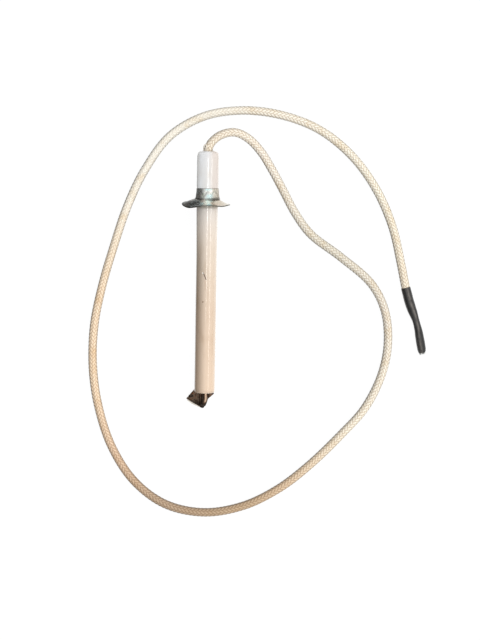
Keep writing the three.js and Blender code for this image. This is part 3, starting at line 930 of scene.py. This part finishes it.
def rim_rise(angle):
    """The bend of the rim in millimetres at these angles: a smooth, closed curve through RIM_RISE."""
    turn = angle / math.radians(15) + len(RIM_RISE) / 2
    before = np.floor(turn).astype(int)
    t = turn - before
    rises = np.array(RIM_RISE)
    last, here, following, later = (rises[(before + k) % len(rises)] for k in (-1, 0, 1, 2))
    rim = here + t * (following - last) / 2 + t**2 * (last - 2.5 * here + 2 * following - later / 2)
    return rim + t**3 * (1.5 * (here - following) + (later - last) / 2)


def flange_dish(finish):
    """The plate: a thin, shallow cone under the collar, bent a little out of true along its rim."""
    corners = [
        (PLATE_HOLE, SEAT_STATION - SHEET, 0.2 * MM),
        (6.0 * MM, SEAT_STATION - SHEET, 0.3 * MM),
        (LIP_INNER, LIP_TOP + LIP_RISE - SHEET, 0.6 * MM),
        (FLANGE_RADIUS, LIP_TOP - SHEET, 0.24 * MM),
        (FLANGE_RADIUS, LIP_TOP, 0.24 * MM),
        (LIP_INNER, LIP_TOP + LIP_RISE, 0.6 * MM),
        (6.2 * MM, SEAT_STATION, 0.4 * MM),
        (PLATE_HOLE, SEAT_STATION, 0.2 * MM),
    ]
    sides = 144
    outline = subdivided(rounded(corners), 0.35 * MM)
    radius, angle, station = turned_points(outline, sides)
    outer = np.clip((radius - PLATE_BEND) / (FLANGE_RADIUS - PLATE_BEND), 0, 1)
    lean = -0.55 * np.sin(angle) * outer**0.5 * (1.5 - outer)
    wave = 0.05 * np.sin(7 * angle) * outer
    station = station + (lean + rim_rise(angle) * outer**1.5 + wave) * MM
    local = from_polar(radius, angle, station)
    local[:, 0] += (RIM_OFFSET * outer**1.5).ravel()
    # Painted shade under the plate, along its rim edge and round its root by the neck.
    under = np.repeat(outline[:, 1] < LIP_TOP - 0.5 * SHEET, sides)
    edge = (radius > FLANGE_RADIUS - 0.22 * MM).ravel()
    root = 0.6 * np.exp(-(((radius - 5.9 * MM) / (0.3 * MM)) ** 2)).ravel()
    return turned_piece("flange_dish", len(outline), local, finish, "plated_steel",
                        crease=np.maximum(under | edge, root))


def flange_neck(finish):
    """The collar, crimped into the ceramic's groove with V-shaped creases."""
    corners = [
        (NECK_INNER, 93 * MM, 0),
        (6.05 * MM, 93 * MM, 0.15 * MM),
        (6.05 * MM, 93.5 * MM, 0.15 * MM),
        (5.45 * MM, 93.5 * MM, 0),
        (5.45 * MM, 94.75 * MM, 0),
        (6.3 * MM, 94.65 * MM, 0.1 * MM),
        (5.85 * MM, 95.3 * MM, 0.4 * MM),
        (5.6 * MM, 97.2 * MM, 0.6 * MM),
        (5.45 * MM, COLLAR_TOP - 0.4 * MM, 0.2 * MM),
        (5.3 * MM, COLLAR_TOP, 0.15 * MM),
        (NECK_INNER, COLLAR_TOP, 0),
    ]
    outline = subdivided(rounded(corners), 0.2 * MM)
    radius, angle, station = turned_points(outline, 180)
    height = np.clip((station - NECK_FOOT) / (COLLAR_TOP - NECK_FOOT), 0, 1)
    crimped = (radius > 5.1 * MM) * np.sin(math.pi * height) ** 0.5
    zigzag = np.abs(((angle * CRIMPS / (2 * math.pi)) % 1) * 2 - 1)
    crease = np.exp(-(((height - 0.2 - 0.6 * zigzag) / CRIMP_WIDTH) ** 2))
    radius = radius - CRIMP_DEPTH * crease * crimped
    radius = radius + 0.05 * MM * np.sin(CRIMPS * angle) * crimped
    local = from_polar(radius, angle, station)
    # Painted shade in the crimp creases, and a dark joint along the seam to the plate that widens into
    # painted shade towards +X.
    seam_width = (0.35 + 0.55 * np.sin(angle).clip(0, 1) ** 0.5) * MM
    seam = np.exp(-(((station - 95.0 * MM) / seam_width) ** 2))
    return turned_piece("flange_neck", len(outline), local, finish, "plated_steel",
                        crease=np.maximum(0.25 * crease * crimped, seam))


# ---------------------------------------------------------------- rod and flag


def electrode_rod(finish):
    """The rod, straight in the ceramic and leaning a little outside it, with a painted highlight along its
    top and painted shade on its flanks.
    """
    stations = ((0, ROD_INNER_END), (0, 50 * MM), (0, 5 * MM), (0.4 * MM, -1.2 * MM),
                (0.3 * MM, -3.9 * MM), ROD_TIP)
    line = Line([on_probe(x, station) for x, station in stations])
    fine = np.arange(line.length - 12 * MM, line.length - ROD_ROUNDING, 0.4 * MM)
    dome = line.length - ROD_ROUNDING + ROD_ROUNDING * np.sin(np.linspace(0, math.pi / 2, 7))
    distance = np.concatenate([np.linspace(0, line.length - 13 * MM, 40), fine, dome])
    into_dome = ((distance - dome[0]) / ROD_ROUNDING).clip(0, 1)
    radius = ROD_RADIUS * (0.4 + 0.6 * np.sqrt(np.clip(1 - into_dome**2, 0.04, 1)))
    sides = 32
    angle = 2 * math.pi * np.arange(sides) / sides
    points, outward = line.around(distance, radius[:, None, None], angle)
    points = points.reshape(-1, 3)
    place = moved(points, PROBE.inverted())
    # A painted highlight along the rod's top, turned towards +X, and painted shade on the rest of it.
    facing = (outward @ (math.sin(WORN_SIDE), 0, math.cos(WORN_SIDE))).ravel()
    worn = facing.clip(0, 1) ** 9 * np.clip((place[:, 1] + 5.4 * MM) / (1.2 * MM), 0, 1)
    return make_piece("electrode", points, skin(len(distance), sides), finish, "oxidised_steel",
                      place, bare=0.6 * worn, crease=0.5 * (1 - worn))


def flag_section(x):
    """Height of the flag's sheet at x: a sloping left leaf, pinched folds, a trough and a right wing."""
    knots = [-9.4, -7.0, -4.6, -2.6, -1.3, 0.0, 1.2, 1.9, 2.8, 3.8, 4.8]
    heights = [-3.7, -3.3, -2.75, -2.2, -1.95, -1.85, -1.5, -0.9, -0.55, -0.8, -1.3]
    return np.interp(x, np.array(knots) * MM, np.array(heights) * MM)


def flag_pinch(x):
    """Depth of the folds beside the rod, from -1 in a valley to 1 on a ridge."""
    return np.exp(-(((x / MM + 2.0) / 1.1) ** 2)) * np.sin(x / MM * 2 * math.pi / 1.05)


def along_edge(edge, count):
    """Evenly spaced points along a broken line."""
    gaps = np.linalg.norm(np.diff(edge, axis=0), axis=1)
    reach = np.concatenate([[0], np.cumsum(gaps)]) / gaps.sum()
    share = np.linspace(0, 1, count)
    return np.stack([np.interp(share, reach, edge[:, k]) for k in range(2)], -1)


def leaf(top, bottom, drop, hole=None):
    """A patch of sheet between a top and a bottom edge, each given as (x, station) corners.

    It also gives each point's share of the way from the top edge to the bottom edge.
    """
    columns, rows = 72, 40
    upper, lower = (along_edge(np.array(edge) * MM, columns) for edge in (top, bottom))
    down = np.linspace(0, 1, rows)[:, None, None]
    flat = (upper * (1 - down) + lower * down).reshape(-1, 2)
    height = flag_section(flat[:, 0]) - drop + 0.42 * MM * flag_pinch(flat[:, 0])
    height += 0.2 * MM * ripple(np.column_stack([flat, height]), 1.8 * MM, 6)
    points = np.column_stack([flat, height])
    grid = np.arange(rows * columns).reshape(rows, columns)
    quads = np.stack([grid[:-1, :-1], grid[:-1, 1:], grid[1:, 1:], grid[1:, :-1]], -1).reshape(-1, 4)
    if hole is not None:
        x, station, size = hole
        away = np.hypot(points[:, 0] - x, points[:, 1] - station)
        inside = away < size
        rim = {v for q in quads if inside[q].any() for v in q if not inside[v]}
        for v in rim:
            points[v, :2] = (x, station) + (points[v, :2] - (x, station)) * size / away[v]
        quads = [q for q in quads if not inside[q].any()]
    return points, [list(q) for q in quads], np.repeat(down.ravel(), columns)


def sensing_flag(finish):
    """The folded sheet at the tip: an upper leaf over a shorter lower one, with a painted highlight along
    the lower leaf's hem.
    """
    upper, upper_faces, _ = leaf(
        [(-4.7, 1.5), (-4.4, -0.2), (-2.0, -0.3), (0.6, -0.35), (2.6, -0.35), (4.5, -0.35)],
        [(-8.95, -3.7), (-5.4, -5.8), (-3.6, -6.6), (-2.4, -7.2), (-1.3, -8.1), (-0.3, -7.9), (1.8, -3.2),
         (4.6, -0.7)],
        0.0,
        (-7.35 * MM, -2.7 * MM, 0.5 * MM),
    )
    lower, lower_faces, down = leaf(
        [(-7.7, -2.0), (-5.6, -1.4), (-3.0, -2.4), (-0.9, -4.4)],
        [(-8.5, -4.7), (-6.3, -6.3), (-3.6, -7.3), (-1.8, -7.9)],
        LEAF_DROP,
    )
    local = np.vstack([upper, lower])
    faces = upper_faces + [[v + len(upper) for v in face] for face in lower_faces]
    plain = np.zeros(len(upper))
    # A painted highlight along the lower leaf's hem; painted shade in the folds and on the half of the
    # lower leaf under the upper one.
    bare = np.concatenate([plain, np.clip((down - 0.55) / 0.1, 0, 1)])
    crease = np.clip(-flag_pinch(local[:, 0]), 0, 1)
    crease = np.maximum(crease, np.concatenate([plain, down < 0.5]))
    return make_sheet("flag", moved(local, PROBE), faces, FLAG_THICKNESS, finish, "oxidised_steel",
                      local, bare=bare, crease=crease)


# ---------------------------------------------------------------- sleeve and terminal


def heat_shrink(finish):
    """The black sleeve: tight on the braid, necked in at the crimp, flattened over the terminal."""
    shape = (
        (0.0, 2.28), (0.5, 2.36), (8.5, 2.38), (12.0, 2.22), (14.5, 1.95), (16.8, 1.72), (19.0, 1.74),
        (21.5, 1.88), (24.0, 2.08), (28.0, 2.16), (31.0, 2.1), (32.3, 1.86), (32.95, 1.5),
    )  # run and radius, in millimetres
    runs = np.linspace(0, SLEEVE_LENGTH, 150)
    radii = np.interp(runs, *(np.array(shape).T * MM))
    smooth = np.convolve(np.pad(radii, 3, "edge"), np.ones(7) / 7, "valid")
    outer = np.column_stack([np.where(runs > 31 * MM, radii, smooth), runs])
    outline = np.vstack([outer, (outer - (SLEEVE_WALL, 0))[::-1]])
    radius, angle, station = turned_points(outline, 64)
    pull = np.clip((station - 9 * MM) / (6 * MM), 0, 1) * np.clip((27 * MM - station) / (6 * MM), 0, 1)
    folds = np.sin(3 * angle + station / (3.2 * MM)) + 0.6 * np.sin(5 * angle - station / (2.1 * MM))
    radius = radius + 0.07 * MM * folds * pull
    local = from_polar(radius, angle, station)
    local[:, 0] -= bow(local[:, 1])
    lumps = ripple(local, 3.0 * MM, 9) * 0.05 * MM
    local[:, 0] += lumps
    local[:, 2] += lumps
    # A painted highlight along the sleeve's top, following the streak's angle.
    streak = np.interp(station / MM, [0, 14, 20, 25, 33], np.radians([-8, -16, -10, 14, 10]))
    off = (angle - streak + math.pi) % (2 * math.pi) - math.pi
    rubbed = 0.75 * np.exp(-((off / math.radians(17)) ** 2))
    return turned_piece("heat_shrink", len(outline), local, finish, "heat_shrink", SLEEVE, rubbed=rubbed)


def push_on_terminal(finish):
    """The terminal at its place in the bowed sleeve, as a turned copy of its CAD solid."""
    source = frame["nodes"]["terminal"].data
    points = np.array([v.co for v in source.vertices])
    local = moved(points, SLEEVE.inverted())
    local[:, 0] -= bow(local[:, 1])
    faces = [list(p.vertices) for p in source.polygons]
    piece = make_piece("push_on_terminal", moved(local, SLEEVE), faces, finish, "bright_steel", local)
    piece.data.set_sharp_from_angle(angle=math.radians(35))
    return piece


# ---------------------------------------------------------------- studio

AMBIENT_LOW = 0.32  # strength of the light from all round, low down on the left
AMBIENT_HIGH = 1.1  # and high up on the right
AMBIENT_COLOUR = (0.96, 0.98, 1.0, 1)
BRIGHT_SIDE = (0.42, 0, 0.91)  # where that light is strongest
FLOOR_REACH = 4.0
FLOOR_DROP = 0.05 * MM  # the floor lies this far under the probe
FLOOR_BOUNCE = 0.18  # how much light the floor gives back to the probe
FLOOR_GLOW = 0.93
FLOOR_SHADE = 0.1  # share of the floor's look that takes shadows
MIRRORED_DIM = 0.08  # how bright the floor's left half looks in the probe's metal
MIRRORED_RISE = 1.35  # and how much brighter its right half looks
MIRRORED_EDGE = (-0.024, 0.0)  # the floor brightens between these x


def add_area_light(name, location, aim, size, power, colour):
    data = bpy.data.lights.new(name, "AREA")
    data.shape = "RECTANGLE"
    data.size, data.size_y = size
    data.energy = power
    data.color = colour
    light = add_object(name, data)
    light.location = location
    light.rotation_euler = (Vector(aim) - Vector(location)).to_track_quat("-Z", "Y").to_euler()
    light.visible_camera = False
    return light


def grey(value):
    return (value, value, value, 1)


def floor_finish():
    """A white table top that looks evenly bright, throws little light back, and mirrors as a lit table."""
    finish = Finish("floor", roughness=0.9, base_color=grey(FLOOR_BOUNCE))
    glow = finish.node("Emission", {"Strength": FLOOR_GLOW})
    shaded = finish.node("BsdfDiffuse", {"Color": grey(FLOOR_SHADE)})
    seen = finish.node("AddShader", {0: glow, 1: shaded})
    lit_side = finish.step(finish.axis(finish.world(), "X"), *MIRRORED_EDGE)
    strength = finish.math("MULTIPLY_ADD", lit_side, MIRRORED_RISE, MIRRORED_DIM)
    mirrored = finish.node("Emission", {"Strength": strength})
    lighting = finish.by_ray("Is Glossy Ray", mirrored, finish.surface.outputs[0])
    finish.show(finish.by_ray("Is Camera Ray", seen, lighting), "Material Output")
    return finish.material


def add_floor():
    mesh = bpy.data.meshes.new("floor")
    corners = [(-1, -1), (1, -1), (1, 1), (-1, 1)]
    mesh.from_pydata([(x * FLOOR_REACH, y * FLOOR_REACH, 0) for x, y in corners], [], [(0, 1, 2, 3)])
    mesh.materials.append(floor_finish())
    floor = add_object("floor", mesh)
    floor.location.z = -FLOOR_DROP


def add_world():
    """Light from all round, dimmer low down and on the left, and a white backdrop for the camera."""
    world = bpy.data.worlds.new("studio")
    nodes = Nodes(world)
    around = nodes.node("TexCoord", {}, "Generated")
    range_inputs = {
        "Value": nodes.vector("DOT_PRODUCT", around, BRIGHT_SIDE, "Value"),
        "From Min": -0.3,
        "To Min": AMBIENT_LOW,
        "To Max": AMBIENT_HIGH,
    }
    strength = nodes.node("MapRange", range_inputs, interpolation_type="SMOOTHSTEP")
    ambient = nodes.node("Background", {"Color": AMBIENT_COLOUR, "Strength": strength})
    backdrop = nodes.node("Background", {"Color": grey(1)})
    nodes.show(nodes.by_ray("Is Camera Ray", backdrop, ambient), "World Output")
    bpy.context.scene.world = world


def add_studio():
    """Large soft boxes round the probe, and two strips whose reflections run along the glaze."""
    middle = (0.02, -0.015, 0)
    white, warm = (1.0, 0.99, 0.975), (1.0, 0.965, 0.925)
    right_box = add_area_light("right_box", (1.2, -0.05, 0.6), middle, (2.2, 1.1), 8.8, warm)
    right_box.visible_glossy = False
    add_area_light("far_box", (0.05, 1.0, 0.5), middle, (1.3, 0.7), 2.4, white)
    add_area_light("near_box", (0.1, -1.05, 0.5), middle, (1.3, 0.7), 1.8, white)
    add_area_light("side_strip", (0.8, 0.0, 0.9), middle, (0.7, 0.09), 1.1, white)
    add_area_light("head_strip", (0.08, -0.18, 1.4), (0, 0.03, 0), (0.16, 0.19), 0.62, white)
    add_world()
    add_floor()
    bpy.context.scene.view_settings.view_transform = "Standard"


# ---------------------------------------------------------------- assembly

add_camera()

braid_material = braid_finish()
silicone_material = silicone_finish()
copper_material = drawn_metal_finish("tinned_copper", (214, 206, 196), (150, 138, 126), 0.35)
steel_material = drawn_metal_finish("bright_steel", (206, 206, 202), (140, 140, 138), 0.3)

lead = lead_line()
braid, braid_from, braid_to = braided_lead(lead, braid_material)
insulation = round_tube(
    "core_insulation", lead, lead.nearest(on_probe(0, INSULATION_START)),
    lead.nearest(on_sleeve(INSULATION_RUN)), INSULATION_RADIUS, silicone_material, "silicone",
)
wire = round_tube(
    "core_wire", lead, 0, lead.length, CONDUCTOR_RADIUS, copper_material, "tinned_copper",
)
yarn = loose_yarn(braid_material)
sleeve = heat_shrink(shrink_finish())
terminal = push_on_terminal(steel_material)
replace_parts(braid, "lead_braid")
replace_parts(insulation, "lead_insulation")
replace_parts(wire, "lead_conductor")
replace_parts(sleeve, "heat_shrink_sleeve")
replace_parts(terminal, "terminal")

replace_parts(ceramic_insulator(glaze_finish()), "ceramic_insulator")
cement_material = cement_finish()
hot_plug = cement_plug("hot_end_cement", ROD_RADIUS, POT_RADIUS, 0.5 * MM, POT_DEPTH, 0.5 * MM,
                       cement_material)
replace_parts(hot_plug, "tip_cement")
mouth_plug = cement_plug("mouth_end_cement", 2.02 * MM, MOUTH_RADIUS, CERAMIC_LENGTH - MOUTH_DEPTH,
                         CERAMIC_LENGTH - 0.6 * MM, CERAMIC_LENGTH - 0.6 * MM, cement_material)
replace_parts(mouth_plug, "mouth_cement")

zinc_material = zinc_finish()
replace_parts(flange_dish(zinc_material), "flange_plate")
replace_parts(flange_neck(zinc_material), "flange_collar")

oxide_material = oxide_finish()
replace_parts(electrode_rod(oxide_material), "electrode_rod")
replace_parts(sensing_flag(oxide_material), "sensing_flag")

ferrule = frame["nodes"]["splice_ferrule"]
ferrule.data.materials.clear()
ferrule.data.materials.append(steel_material)

add_studio()
